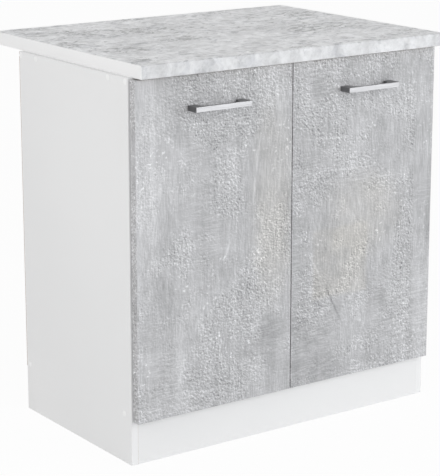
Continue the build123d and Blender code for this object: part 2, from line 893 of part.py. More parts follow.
def hinge_arms(side):
    """Arms: two cheeks that carry the pins, joined by a web that sits on the plate's rail."""
    (inner_u, inner_v), (outer_u, outer_v) = inner_arm_pin, outer_arm_pin
    nose = arm_nose_radius
    web_u = arm_rail_height
    shoulder_v = arm_front_v + arm_shoulder
    foot_u = plate_thickness + arm_foot_gap
    cheek = [
        (foot_u, arm_rear_v),
        (foot_u, arm_front_v),
        (inner_u - nose, inner_v - nose / 2),
        (inner_u, inner_v - nose),
        (outer_u, outer_v - nose),
        (outer_u + nose, outer_v),
        (outer_u + nose / 2, outer_v + nose + 1),
        (web_u + arm_wall, shoulder_v),
        (web_u + arm_wall, arm_rear_v),
    ]
    web_outer = [
        (outer_u + nose / 2, outer_v + nose + 1),
        (web_u + arm_wall, shoulder_v),
        (web_u + arm_wall, arm_rear_v),
    ]
    web_inner = [
        (web_u, arm_rear_v),
        (web_u, shoulder_v),
        (outer_u + nose / 2 - arm_wall, outer_v + nose + 1),
    ]
    with BuildPart() as arms:
        for height in hinge_heights:
            for start in (height - cheek_high, height + cheek_low):
                with BuildSketch(Plane.XY.offset(start)):
                    with BuildLine():
                        Polyline(*[hinge_point(side, point) for point in cheek], close=True)
                    make_face()
                    for pin in (inner_arm_pin, outer_arm_pin):
                        with Locations(hinge_point(side, pin)):
                            Circle(pin_radius, mode=Mode.SUBTRACT)
                extrude(amount=arm_wall)
            with BuildSketch(Plane.XY.offset(height - cheek_low)):
                with BuildLine():
                    web = [hinge_point(side, point) for point in web_outer + web_inner]
                    Polyline(*web, close=True)
                make_face()
            extrude(amount=2 * cheek_low)
        rods(
            [
                (hinge_x(side, web_u + arm_wall / 2), front + v, height)
                for v in arm_screw_vs
                for height in hinge_heights
            ],
            arm_screw_radius,
            2 * arm_wall,
            along_x,
            mode=Mode.SUBTRACT,
        )
    return arms


def hinge_arm_pins(side):
    """Two rivets through the cheeks of each arm, on which the links turn."""
    head_radius, head_height = rivet_head
    with BuildPart() as pins:
        for height in hinge_heights:
            for pin in (inner_arm_pin, outer_arm_pin):
                x, y = hinge_point(side, pin)
                rods([(x, y, height)], pin_radius, 2 * cheek_high)
                for end in (-1, 1):
                    z = height + end * (cheek_high + head_height / 2)
                    rods([(x, y, z)], head_radius, head_height)
    return pins


cup_inner_radius = cup_radius - cup_wall
cup_pin_reach = cheek_high + cup_pin_overhang


def hinge_cups(side):
    """Cups: a round shell let into the door, two lugs for the pins, and two screw wings."""
    centre_x = hinge_x(side, cup_u)
    wing_x = hinge_x(side, cup_u + cup_screw_shift)
    lug_span = sorted(
        (hinge_x(side, inner_cup_pin[0] - 2), hinge_x(side, outer_cup_pin[0] + cup_lug_half_width))
    )
    floor = door_back - cup_depth
    notch = sorted((centre_x, hinge_x(side, cup_u + 2 * cup_radius)))
    with BuildPart() as cups:
        for height in hinge_heights:
            centre = (centre_x, door_back - cup_depth / 2, height)
            rods([centre], cup_radius, cup_depth, along_y)
            inside = (centre_x, door_back - (cup_depth - cup_wall) / 2, height)
            rods([inside], cup_inner_radius, cup_depth - cup_wall, along_y, mode=Mode.SUBTRACT)
            with BuildSketch(Plane.XZ.offset(-floor)):
                with Locations((centre_x, height)):
                    Circle(cup_radius)
                    Rectangle(3 * cup_radius, 2 * cheek_low, mode=Mode.SUBTRACT)
                with Locations((sum(lug_span) / 2, height)):
                    Rectangle(lug_span[1] - lug_span[0], 3 * cup_radius, mode=Mode.INTERSECT)
            extrude(amount=-cup_depth)
            with BuildSketch(Plane.XZ.offset(-door_back)):
                with Locations((centre_x, height)):
                    Circle(cup_lip_radius)
                for end in (-1, 1):
                    with Locations((wing_x, height + end * cup_screw_spacing / 2)):
                        Circle(cup_wing_radius)
                    with Locations((wing_x, height + end * cup_screw_spacing / 4)):
                        Rectangle(2 * cup_wing_radius, cup_screw_spacing / 2)
                with Locations((centre_x, height)):
                    Circle(cup_inner_radius, mode=Mode.SUBTRACT)
                    Rectangle(3 * cup_radius, 2 * cup_lip_gap, mode=Mode.SUBTRACT)
                for end in (-1, 1):
                    with Locations((wing_x, height + end * cup_screw_spacing / 2)):
                        Circle(cup_screw_radius, mode=Mode.SUBTRACT)
            extrude(amount=-cup_wing_thickness)
            block(
                notch,
                (door_back - cup_notch_depth, door_back),
                (height - cup_lip_gap, height + cup_lip_gap),
                mode=Mode.SUBTRACT,
            )
            x, y = hinge_point(side, inner_cup_pin)
            rods([(x, y, height)], pin_radius, 2 * cup_pin_reach, mode=Mode.SUBTRACT)
            x, y = hinge_point(side, outer_cup_pin)
            rods([(x, y, height)], fork_pin_radius, 2 * cup_pin_reach, mode=Mode.SUBTRACT)
    return cups


def hinge_cup_pins(side):
    """In each cup, a pin across both lugs and, above it, a stub in each lug for the fork."""
    with BuildPart() as pins:
        for height in hinge_heights:
            x, y = hinge_point(side, inner_cup_pin)
            rods([(x, y, height)], pin_radius, 2 * cup_pin_reach)
            x, y = hinge_point(side, outer_cup_pin)
            length = cup_pin_reach - outer_link_low
            for end in (-1, 1):
                z = height + end * (outer_link_low + length / 2)
                rods([(x, y, z)], fork_pin_radius, length)
    return pins


def inner_links(side):
    """Inner links: a bent strip with an eye at each end, from the arm to the cup."""
    bend = [hinge_point(side, point) for point in (inner_arm_pin, inner_link_bend, inner_cup_pin)]
    with BuildPart() as links:
        for height in hinge_heights:
            with BuildSketch(Plane.XY.offset(height - inner_link_half)):
                with BuildLine(mode=Mode.PRIVATE) as centre_line:
                    Polyline(*bend)
                SlotArc(centre_line.wire(), link_thickness)
                for end in (bend[0], bend[-1]):
                    with Locations(end):
                        Circle(link_eye_radius)
                for end in (bend[0], bend[-1]):
                    with Locations(end):
                        Circle(pin_radius + running_clearance, mode=Mode.SUBTRACT)
            extrude(amount=2 * inner_link_half)
    return links


def outer_links(side):
    """Outer links: two bent strips beside the inner one, each with an eye and an open fork."""
    bend = [hinge_point(side, point) for point in (outer_arm_pin, outer_link_bend, fork_root)]
    fork_u, fork_v = fork_root
    fork_length = fork_u - fork_tip_u
    slot_length = fork_slot_end_u - fork_tip_u
    fork_middle = hinge_point(side, (fork_u - fork_length / 2, fork_v))
    slot_middle = hinge_point(side, (fork_slot_end_u - slot_length / 2, fork_v))
    with BuildPart() as links:
        for height in hinge_heights:
            for start in (height - outer_link_high, height + outer_link_low):
                with BuildSketch(Plane.XY.offset(start)):
                    with BuildLine(mode=Mode.PRIVATE) as centre_line:
                        Polyline(*bend)
                    SlotArc(centre_line.wire(), link_thickness)
                    with Locations(bend[0]):
                        Circle(link_eye_radius)
                    with Locations(fork_middle):
                        Rectangle(fork_length, fork_width)
                    with Locations(slot_middle):
                        Rectangle(slot_length, fork_slot_width, mode=Mode.SUBTRACT)
                    with Locations(bend[0]):
                        Circle(pin_radius + running_clearance, mode=Mode.SUBTRACT)
                extrude(amount=outer_link_wall)
    return links


plate_screw = pan_head_screw(plate_screw_radius, plate_screw_length, plate_screw_head)
arm_screw = pan_head_screw(arm_screw_radius, arm_screw_length, arm_screw_head)
cup_screw = pan_head_screw(cup_screw_radius, cup_screw_length, cup_screw_head)

for side, inward in (("left", head_to_right), ("right", head_to_left)):
    save(door_panel(side), f"{side}_door_panel")
    save(door_bands(side), f"{side}_door_edge_bands")
    save(bar_handle(side), f"{side}_handle")
    save(handle_screw_pair(side), f"{side}_handle_screws")
    save(door_buffers(side), f"{side}_door_buffers")
    save(hinge_plates(side), f"{side}_hinge_plates")
    save(hinge_arms(side), f"{side}_hinge_arms")
    save(hinge_arm_pins(side), f"{side}_hinge_arm_pins")
    save(hinge_cups(side), f"{side}_hinge_cups")
    save(hinge_cup_pins(side), f"{side}_hinge_cup_pins")
    save(inner_links(side), f"{side}_hinge_inner_links")
    save(outer_links(side), f"{side}_hinge_outer_links")
    plate_places = [
        Location((hinge_x(side, plate_thickness), y, z), inward) for y, z in plate_screw_spots
    ]
    save(screw_group(plate_screw, plate_places), f"{side}_plate_screws")
    arm_places = [
        Location((hinge_x(side, arm_rail_height + arm_wall), front + v, z), inward)
        for v in arm_screw_vs
        for z in hinge_heights
    ]
    save(screw_group(arm_screw, arm_places), f"{side}_arm_screws")
    cup_places = [
        Location((x, door_back + cup_wing_thickness, z), head_to_rear)
        for x, z in cup_screw_spots(side)
    ]
    save(screw_group(cup_screw, cup_places), f"{side}_cup_screws")
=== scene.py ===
import math
from collections import namedtuple

import bmesh
import bpy
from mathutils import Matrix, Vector


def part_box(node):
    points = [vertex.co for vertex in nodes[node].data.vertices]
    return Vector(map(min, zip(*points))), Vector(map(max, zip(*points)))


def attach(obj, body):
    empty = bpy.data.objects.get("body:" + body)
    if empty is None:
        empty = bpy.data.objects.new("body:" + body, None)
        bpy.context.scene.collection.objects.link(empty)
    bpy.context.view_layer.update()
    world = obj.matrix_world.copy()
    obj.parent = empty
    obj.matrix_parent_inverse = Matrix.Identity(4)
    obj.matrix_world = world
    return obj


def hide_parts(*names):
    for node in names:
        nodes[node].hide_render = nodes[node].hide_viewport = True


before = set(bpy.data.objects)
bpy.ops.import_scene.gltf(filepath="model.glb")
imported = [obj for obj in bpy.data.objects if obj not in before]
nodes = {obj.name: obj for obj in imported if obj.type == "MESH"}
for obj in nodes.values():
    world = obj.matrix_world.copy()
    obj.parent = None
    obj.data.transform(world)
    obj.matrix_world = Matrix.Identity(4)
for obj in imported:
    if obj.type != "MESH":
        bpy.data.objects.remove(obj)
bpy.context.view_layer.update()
scene = bpy.context.scene

MM = 0.001
SIDES = ("left", "right")
WHITE = (1, 1, 1, 1)

# Camera, solved from the cabinet's edges in the photograph. Its lens is in millimetres
CAMERA_PLACE = Vector((-2.3191, -3.2778, 1.4192))
CAMERA_PITCH = math.radians(13.50)
CAMERA_YAW = math.radians(-35.316)
CAMERA_LENS = 137.53
CAMERA_SHIFT = -0.07

# Studio: half the floor's width, its grey, the share of white that it shows, and the world's
# levels of light
FLOOR_REACH = 40.0
FLOOR_GREY = 0.86
FLOOR_WHITE_SHARE = 0.95
HORIZON_LEVEL = 0.94
OVERHEAD_LEVEL = 0.44

# Handle
BAR_DEPTH = 6 * MM
LEG_WIDTH = 20 * MM
INNER_RADIUS = 20 * MM
INNER_CURVE_STEPS = 14
HANDLE_EASE = 0.5 * MM
SHARP_EDGE = math.radians(40)

# A face of the handle is part of its bright front when its share forwards is above this. The other faces
# take a darker colour, a painted reflection of dark surroundings in the metal
BRIGHT_FRONT = 0.9

# Screw caps and door buffers
CAP_RADIUS = 6.5 * MM
CAP_RIM = 0.35 * MM
BUFFER_RIM_SHARE = 0.35
DOME_STEPS = 4
DISC_STEPS = 32

# Vertices closer than this are merged
MERGE_REACH = 0.01 * MM

# A face whose share along a way is above this looks that way
LOOKS_ALONG = 0.7

# Colours of the prints, before their tone is applied
CONCRETE_COOL = (0.470, 0.471, 0.481, 1)
CONCRETE_WARM = (0.488, 0.478, 0.461, 1)
MARBLE_PALE = (0.725, 0.731, 0.742, 1)
MARBLE_VEIN = (0.69, 0.70, 0.725, 1)

# Shift between the painted highlight and the painted shade of the concrete's speckle, which together
# make it look embossed
PAINTED_EMBOSS_SHIFT = 1.3 * MM

# How far the marble's veins are turned, and the darkest and the usual tone of its print
MARBLE_TURN = math.radians(-20)
MARBLE_DARKEST = 0.42
MARBLE_GROUND = 0.685

# Tone of the concrete print without its pattern, on the doors' faces and on their edge bands
DOOR_GROUND = 0.62
BAND_GROUND = 0.71

# A patch of a print: how much it adds, its middle, width and height in metres, how soft its edge
# is, how square its corners are, and how far its outline wanders in metres
Patch = namedtuple("Patch", "adds x z width height edge square wander")

# A scratch: how much it adds, its two ends as X and Z in metres, and its width
Scratch = namedtuple("Scratch", "adds start end width")

# Marks of each door's print: lighter and darker ones, warm ones, and ones with less speckle
LEFT_MARKS = {
    "tone": [
        Patch(0.15, -0.355, 0.68, 0.110, 0.32, 0.5, 0.7, 0.03),
        Patch(0.04, -0.270, 0.62, 0.120, 0.30, 0.6, 0.3, 0.05),
        Patch(0.05, -0.392, 0.50, 0.026, 0.62, 0.4, 0.9, 0.01),
        Patch(0.05, -0.360, 0.68, 0.016, 0.34, 0.6, 0.7, 0.01),
        Patch(-0.03, -0.310, 0.60, 0.050, 0.36, 0.5, 0.8, 0.012),
        Patch(0.06, -0.330, 0.16, 0.092, 0.25, 0.06, 1.0, 0.003),
        Patch(0.05, -0.300, 0.20, 0.020, 0.16, 0.7, 0.2, 0.02),
        Patch(0.05, -0.360, 0.48, 0.100, 0.20, 0.5, 0.3, 0.05),
        Patch(-0.05, -0.386, 0.44, 0.024, 0.10, 0.6, 0.3, 0.02),
        Patch(0.07, -0.200, 0.45, 0.050, 0.30, 0.6, 0.2, 0.06),
        Patch(0.06, -0.050, 0.77, 0.050, 0.20, 0.6, 0.2, 0.04),
        Patch(-0.04, -0.120, 0.33, 0.060, 0.14, 0.6, 0.4, 0.04),
        Patch(-0.05, -0.080, 0.20, 0.150, 0.20, 0.7, 0.2, 0.06),
        Scratch(0.20, (-0.096, 0.660), (-0.110, 0.50), 0.005),
        Scratch(0.22, (-0.190, 0.400), (-0.160, 0.47), 0.006),
        Scratch(0.25, (-0.060, 0.345), (-0.030, 0.36), 0.004),
        Scratch(0.14, (-0.300, 0.150), (-0.285, 0.23), 0.005),
        Scratch(0.18, (-0.050, 0.800), (-0.032, 0.66), 0.007),
        Patch(0.12, -0.095, 0.620, 0.012, 0.070, 0.8, 0.0, 0.03),
        Patch(0.10, -0.290, 0.660, 0.050, 0.030, 0.8, 0.0, 0.05),
        Patch(-0.07, -0.240, 0.530, 0.050, 0.110, 0.7, 0.1, 0.05),
    ],
    "warmth": [Patch(0.8, -0.055, 0.52, 0.100, 0.36, 0.5, 0.4, 0.05)],
    "smooth": [
        Patch(0.4, -0.350, 0.66, 0.120, 0.36, 0.15, 0.9, 0.01),
        Patch(0.4, -0.335, 0.17, 0.090, 0.24, 0.15, 1.0, 0.006),
        Patch(0.5, -0.240, 0.56, 0.060, 0.16, 0.5, 0.2, 0.06),
        Patch(0.5, -0.090, 0.60, 0.060, 0.18, 0.5, 0.2, 0.06),
    ],
}
RIGHT_MARKS = {
    "tone": [
        Patch(0.07, 0.372, 0.42, 0.052, 0.68, 0.25, 0.9, 0.01),
        Patch(-0.16, 0.384, 0.41, 0.014, 0.13, 0.8, 0.3, 0.01),
        Patch(-0.07, 0.345, 0.17, 0.030, 0.20, 0.5, 0.5, 0.02),
        Patch(-0.06, 0.055, 0.53, 0.110, 0.07, 0.6, 0.2, 0.04),
        Patch(0.05, 0.170, 0.45, 0.180, 0.16, 0.6, 0.2, 0.05),
        Patch(-0.05, 0.080, 0.43, 0.060, 0.06, 0.7, 0.0, 0.04),
        Patch(0.04, 0.245, 0.36, 0.070, 0.16, 0.25, 0.9, 0.02),
        Patch(-0.04, 0.250, 0.14, 0.240, 0.12, 0.7, 0.2, 0.05),
        Scratch(0.24, (0.024, 0.648), (0.163, 0.640), 0.0035),
        Scratch(0.20, (0.046, 0.572), (0.200, 0.570), 0.0035),
        Scratch(0.16, (0.120, 0.545), (0.330, 0.538), 0.003),
        Scratch(0.20, (0.087, 0.730), (0.087, 0.620), 0.0035),
        Scratch(0.16, (0.268, 0.600), (0.262, 0.420), 0.004),
        Scratch(0.24, (0.036, 0.405), (0.095, 0.300), 0.004),
        Scratch(-0.34, (0.075, 0.340), (0.142, 0.212), 0.0045),
    ],
    "warmth": [
        Patch(0.75, 0.190, 0.465, 0.180, 0.16, 0.5, 0.3, 0.05),
        Patch(0.85, 0.130, 0.365, 0.150, 0.155, 0.10, 1.0, 0.008),
    ],
    "smooth": [
        Patch(0.7, 0.368, 0.44, 0.060, 0.66, 0.25, 0.9, 0.01),
        Patch(0.5, 0.245, 0.36, 0.070, 0.16, 0.25, 0.9, 0.02),
        Patch(0.5, 0.060, 0.16, 0.110, 0.12, 0.5, 0.3, 0.05),
    ],
}
NO_MARKS = {"tone": [], "warmth": [], "smooth": []}

# The marble's clusters of dark flecks, seen from above, so that Z stands for Y
DARK_CLUSTERS = [
    Patch(adds, x, y, width, depth, edge=0.7, square=0.0, wander=0.05)
    for adds, x, y, width, depth in (
        (0.8, -0.318, 0.290, 0.060, 0.050),
        (0.9, -0.044, 0.295, 0.070, 0.050),
        (1.0, -0.134, 0.125, 0.110, 0.090),
        (0.7, -0.240, 0.170, 0.110, 0.060),
        (0.9, -0.368, 0.022, 0.060, 0.060),
        (1.0, -0.311, -0.097, 0.080, 0.080),
        (0.8, -0.341, -0.226, 0.060, 0.060),
        (0.9, -0.115, -0.027, 0.100, 0.060),
        (0.9, 0.333, 0.152, 0.090, 0.070),
        (1.0, 0.215, -0.052, 0.130, 0.100),
        (0.8, 0.310, -0.060, 0.090, 0.080),
    )
]


# Nodes

def feed(tree, node, inputs):
    """Sets a node's inputs, and joins those that are given as sockets."""
    for name, value in inputs.items():
        if isinstance(value, bpy.types.NodeSocket):
            tree.links.new(value, node.inputs[name])
        else:
            node.inputs[name].default_value = value


def place(tree, kind, inputs=(), **settings):
    """Adds a node with its settings and its inputs."""
    made = tree.nodes.new(kind)
    for name, value in settings.items():
        setattr(made, name, value)
    feed(tree, made, dict(inputs))
    return made


def maths(tree, operation, *values, clamp=False):
    """A Math node's result."""
    made = place(
        tree, "ShaderNodeMath", dict(enumerate(values)), operation=operation, use_clamp=clamp
    )
    return made.outputs[0]


def vectors(tree, operation, *values, scale=None):
    """A Vector Math node's result: a number for a length, distance or dot product, or else a vector."""
    inputs = dict(enumerate(values))
    if scale is not None:
        inputs["Scale"] = scale
    made = place(tree, "ShaderNodeVectorMath", inputs, operation=operation)
    is_number = operation in ("LENGTH", "DISTANCE", "DOT_PRODUCT")
    return made.outputs["Value" if is_number else "Vector"]


def sum_of(tree, parts, start=0.0):
    """Masks, each with its weight, added to a start value."""
    total = start
    for mask, weight in parts:
        total = maths(tree, "MULTIPLY_ADD", mask, weight, total)
    return total


def blended(tree, factor, first, second):
    """A colour mixed from two by a factor, through the sockets that the Mix node has for colours."""
    made = place(tree, "ShaderNodeMix", {0: factor, 6: first, 7: second}, data_type="RGBA")
    return made.outputs[2]


def toned(tree, colour, amount):
    """A colour made lighter or darker by an amount, where 1 leaves it as it is."""
    if not isinstance(colour, bpy.types.NodeSocket):
        colour = colour[:3]
    return vectors(tree, "SCALE", colour, scale=amount)


def ranged(tree, value, low, high, to_low=0.0, to_high=1.0):
    """A value taken smoothly from one range to another, and held at its ends."""
    made = place(
        tree,
        "ShaderNodeMapRange",
        {"Value": value, "From Min": low, "From Max": high, "To Min": to_low, "To Max": to_high},
        interpolation_type="SMOOTHSTEP",
    )
    return made.outputs["Result"]


# Effects, each a node group

FLOAT = "NodeSocketFloat"
VECTOR = "NodeSocketVector"
COLOUR = "NodeSocketColor"


def effect(name, inputs, result, kind=FLOAT):
    """A node group with named inputs and one result: its tree, its inputs and its result's socket."""
    tree = bpy.data.node_groups.new(name, "ShaderNodeTree")
    for label, socket_kind, value in inputs:
        socket = tree.interface.new_socket(label, in_out="INPUT", socket_type=socket_kind)
        if value is not None:
            socket.default_value = value
    tree.interface.new_socket(result, in_out="OUTPUT", socket_type=kind)
    given = tree.nodes.new("NodeGroupInput").outputs
    out = tree.nodes.new("NodeGroupOutput")
    return tree, given, out.inputs[result]


def fill(tree, group, inputs):
    """Places a node group with its inputs and gives back its result."""
    return place(tree, "ShaderNodeGroup", inputs, node_tree=group).outputs[0]


def make_patches():
    """Soft or sharp patches of tone: noise on stretched coordinates, cut between two levels."""
    tree, given, mask = effect(
        "tone patches",
        [
            ("Place", VECTOR, None),
            ("Stretch", VECTOR, (1, 1, 1)),
            ("Offset", VECTOR, (0, 0, 0)),
            ("Scale", FLOAT, 5.0),
            ("Detail", FLOAT, 4.0),
            ("Roughness", FLOAT, 0.5),
            ("Distortion", FLOAT, 0.0),
            ("Low", FLOAT, 0.3),
            ("High", FLOAT, 0.7),
        ],
        "Mask",
    )
    stretched = vectors(tree, "MULTIPLY", given["Place"], given["Stretch"])
    moved = vectors(tree, "ADD", stretched, given["Offset"])
    pattern = {name: given[name] for name in ("Scale", "Detail", "Roughness", "Distortion")}
    noise = place(tree, "ShaderNodeTexNoise", {"Vector": moved, **pattern}).outputs[0]
    tree.links.new(ranged(tree, noise, given["Low"], given["High"]), mask)
    return tree


def make_facing():
    """How far a face looks along a way: 1 along it, 0 across it, -1 against it."""
    tree, given, share = effect("facing", [("Way", VECTOR, (0, 0, 1))], "Share")
    normal = place(tree, "ShaderNodeTexCoord").outputs["Normal"]
    tree.links.new(vectors(tree, "DOT_PRODUCT", normal, given["Way"]), share)
    return tree


def make_cut_edge():
    """1 on a board's cut edges and in its drilled holes, 0 on its broad faces and on one coated edge."""
    tree, given, mask = effect(
        "cut edge",
        [("Thickness Way", VECTOR, (0, 0, 1)), ("Coated Way", VECTOR, (0, 0, 1))],
        "Mask",
    )
    broad = maths(tree, "ABSOLUTE", fill(tree, FACING, {"Way": given["Thickness Way"]}))
    coated = fill(tree, FACING, {"Way": given["Coated Way"]})
    covered = maths(tree, "MAXIMUM", broad, coated)
    tree.links.new(maths(tree, "LESS_THAN", covered, LOOKS_ALONG), mask)
    return tree


def make_curls():
    """Thin curling lines: the places where noise crosses its middle value."""
    tree, given, mask = effect(
        "curling lines",
        [
            ("Place", VECTOR, None),
            ("Scale", FLOAT, 100.0),
            ("Detail", FLOAT, 1.0),
            ("Width", FLOAT, 0.05),
        ],
        "Mask",
    )
    pattern = {"Vector": given["Place"], "Scale": given["Scale"], "Detail": given["Detail"]}
    noise = place(tree, "ShaderNodeTexNoise", pattern).outputs[0]
    away = maths(tree, "ABSOLUTE", maths(tree, "SUBTRACT", noise, 0.5))
    tree.links.new(ranged(tree, away, given["Width"], 0.0), mask)
    return tree


def make_placed_patch():
    """One patch, placed by X and Z: round or square-cornered, with a soft or sharp, wandering edge."""
    tree, given, mask = effect(
        "placed patch",
        [
            ("Place", VECTOR, None),
            ("Centre", VECTOR, (0, 0, 0)),
            ("Half Size", VECTOR, (0.1, 1, 0.1)),
            ("Edge", FLOAT, 0.4),
            ("Square", FLOAT, 0.0),
            ("Wander", FLOAT, 0.02),
        ],
        "Mask",
    )

    # The outline wanders because its coordinates are moved by noise
    pattern = {"Vector": given["Place"], "Scale": 22.0, "Detail": 4.0}
    noise = place(tree, "ShaderNodeTexNoise", pattern).outputs["Color"]
    sway = vectors(tree, "SUBTRACT", noise, (0.5, 0.5, 0.5))
    swayed = vectors(tree, "SCALE", sway, scale=given["Wander"])
    moved = vectors(tree, "ADD", given["Place"], swayed)

    # The reach is 1 on the outline, and lies between that of an ellipse and that of a rectangle
    away = vectors(tree, "SUBTRACT", moved, given["Centre"])
    scaled = vectors(tree, "DIVIDE", away, given["Half Size"])
    flat = vectors(tree, "MULTIPLY", scaled, (1, 0, 1))
    round_reach = vectors(tree, "LENGTH", flat)
    axes = place(tree, "ShaderNodeSeparateXYZ", {0: flat}).outputs
    square_reach = maths(
        tree, "MAXIMUM", maths(tree, "ABSOLUTE", axes["X"]), maths(tree, "ABSOLUTE", axes["Z"])
    )
    gap = maths(tree, "SUBTRACT", square_reach, round_reach)
    reach = maths(tree, "MULTIPLY_ADD", gap, given["Square"], round_reach)
    outer = maths(tree, "ADD", 1.0, given["Edge"])
    inner = maths(tree, "SUBTRACT", 1.0, given["Edge"])
    tree.links.new(ranged(tree, reach, outer, inner), mask)
    return tree


def make_placed_scratch():
    """One scratch, placed by X and Z: a thin straight line that fades towards its ends."""
    tree, given, mask = effect(
        "placed scratch",
        [
            ("Place", VECTOR, None),
            ("Start", VECTOR, (0, 0, 0)),
            ("Way", VECTOR, (1, 0, 0)),
            ("Length", FLOAT, 0.1),
            ("Width", FLOAT, 0.002),
        ],
        "Mask",
    )
    from_start = vectors(tree, "SUBTRACT", given["Place"], given["Start"])
    flat = vectors(tree, "MULTIPLY", from_start, (1, 0, 1))
    along = vectors(tree, "DOT_PRODUCT", flat, given["Way"])
    held = maths(tree, "MINIMUM", maths(tree, "MAXIMUM", along, 0.0), given["Length"])
    foot = vectors(tree, "SCALE", given["Way"], scale=held)
    line = ranged(tree, vectors(tree, "DISTANCE", flat, foot), given["Width"], 0.0)

    # The share of the way along, times the share that is left, is at most a quarter
    share = maths(tree, "DIVIDE", held, given["Length"])
    fade = maths(tree, "MULTIPLY", share, maths(tree, "SUBTRACT", 1.0, share))
    tree.links.new(maths(tree, "MULTIPLY", line, maths(tree, "MULTIPLY", fade, 4.0)), mask)
    return tree


PATCHES = make_patches()
FACING = make_facing()
CUT_EDGE = make_cut_edge()
CURLS = make_curls()
PLACED_PATCH = make_placed_patch()
PLACED_SCRATCH = make_placed_scratch()


def patches(tree, where, scale, low=0.3, high=0.7, detail=4.0, roughness=0.5, stretch=(1, 1, 1),
            offset=(0, 0, 0), distortion=0.0):
    """The mask of one layer of patches. A larger scale or stretch makes them smaller."""
    return fill(
        tree,
        PATCHES,
        {
            "Place": where,
            "Stretch": stretch,
            "Offset": offset,
            "Scale": scale,
            "Detail": detail,
            "Roughness": roughness,
            "Distortion": distortion,
            "Low": low,
            "High": high,
        },
    )


def make_chipboard():
    """Raw chipboard: small pale and dark flakes under a little dust."""
    tree, given, colour = effect("raw chipboard", [("Place", VECTOR, None)], "Color", COLOUR)
    where = given["Place"]
    flakes = place(tree, "ShaderNodeTexVoronoi", {"Vector": where, "Scale": 420.0})
    tone = place(tree, "ShaderNodeSeparateColor", {0: flakes.outputs["Color"]}).outputs[0]
    dust = patches(tree, where, 60.0, detail=5)
    chips = blended(tree, tone, (0.36, 0.24, 0.13, 1), (0.68, 0.52, 0.33, 1))
    dusted = blended(tree, maths(tree, "MULTIPLY", dust, 0.35), chips, (0.58, 0.45, 0.3, 1))
    tree.links.new(dusted, colour)
    return tree


CHIPBOARD = make_chipboard()


def patch_mask(tree, where, patch):
    """The mask of one placed patch."""
    return fill(
        tree,
        PLACED_PATCH,
        {
            "Place": where,
            "Centre": (patch.x, 0, patch.z),
            "Half Size": (patch.width / 2, 1, patch.height / 2),
            "Edge": patch.edge,
            "Square": patch.square,
            "Wander": patch.wander,
        },
    )


def scratch_mask(tree, where, scratch):
    """The mask of one placed scratch."""
    (start_x, start_z), (end_x, end_z) = scratch.start, scratch.end
    way = Vector((end_x - start_x, 0, end_z - start_z))
    return fill(
        tree,
        PLACED_SCRATCH,
        {
            "Place": where,
            "Start": (start_x, 0, start_z),
            "Way": way.normalized(),
            "Length": way.length,
            "Width": scratch.width,
        },
    )


def placed_marks(tree, where, marks, start=0.0):
    """Placed patches and scratches, each with its weight, added to a start value."""
    masks = []
    for mark in marks:
        mask_of = patch_mask if isinstance(mark, Patch) else scratch_mask
        masks.append((mask_of(tree, where, mark), mark.adds))
    return sum_of(tree, masks, start)


# Finishes

def start_material(name, **shader):
    """A material with a Principled shader: the material, its tree, the shader and its coordinates.

    Shader values are given by the names of their sockets, with _ for a space.
    """
    material = bpy.data.materials.new(name)
    material.use_nodes = True
    tree = material.node_tree
    tree.nodes.clear()
    surface = place(tree, "ShaderNodeBsdfPrincipled")
    for socket, value in shader.items():
        surface.inputs[socket.replace("_", " ")].default_value = value
    place(tree, "ShaderNodeOutputMaterial", {"Surface": surface.outputs[0]})
    where = place(tree, "ShaderNodeTexCoord").outputs["Object"]
    return material, tree, surface, where


def relief(tree, surface, height, strength, depth):
    """Joins a height to the shader's normal. The depth is that of a height of 1."""
    bump = place(
        tree, "ShaderNodeBump", {"Height": height, "Strength": strength, "Distance": depth}
    )
    tree.links.new(bump.outputs[0], surface.inputs["Normal"])


def grey(value, warm=0.0):
    """A colour close to grey. A positive warmth makes it redder and less blue."""
    return (value * (1 + warm), value, value * (1 - warm), 1)


def melamine(name, way, coated_way=(0, 0, 0)):
    """White coated board: a faint pearl relief and cloudiness, with raw chipboard where it is cut."""
    material, tree, surface, where = start_material(name)
    cloud = patches(tree, where, 2.2, 0.35, 0.65, detail=2)
    pearl = patches(tree, where, 900.0, detail=2, roughness=0.6)
    coat = blended(tree, cloud, grey(0.825, -0.002), grey(0.845, -0.001))
    cut = fill(tree, CUT_EDGE, {"Thickness Way": way, "Coated Way": coated_way})
    colour = blended(tree, cut, coat, fill(tree, CHIPBOARD, {"Place": where}))
    rough = sum_of(tree, [(cut, 0.4), (pearl, 0.06)], 0.42)
    feed(tree, surface, {"Base Color": colour, "Roughness": rough})
    relief(tree, surface, sum_of(tree, [(pearl, 1.0), (cut, 0.5)]), 0.12, 0.2 * MM)
    return material


def banding(name, colour, roughness=0.35):
    """Thin plastic edge band: even colour, a trace of drawn lines and soft unevenness."""
    material, tree, surface, where = start_material(name)
    drawn = patches(tree, where, 40.0, detail=3, stretch=(30, 30, 1))
    cloud = patches(tree, where, 6.0, 0.35, 0.65)
    tone = sum_of(tree, [(drawn, 0.012), (cloud, 0.012)], 0.988)
    rough = sum_of(tree, [(drawn, 0.08)], roughness)
    feed(tree, surface, {"Base Color": toned(tree, colour, tone), "Roughness": rough})
    relief(tree, surface, drawn, 0.08, 0.1 * MM)
    return material


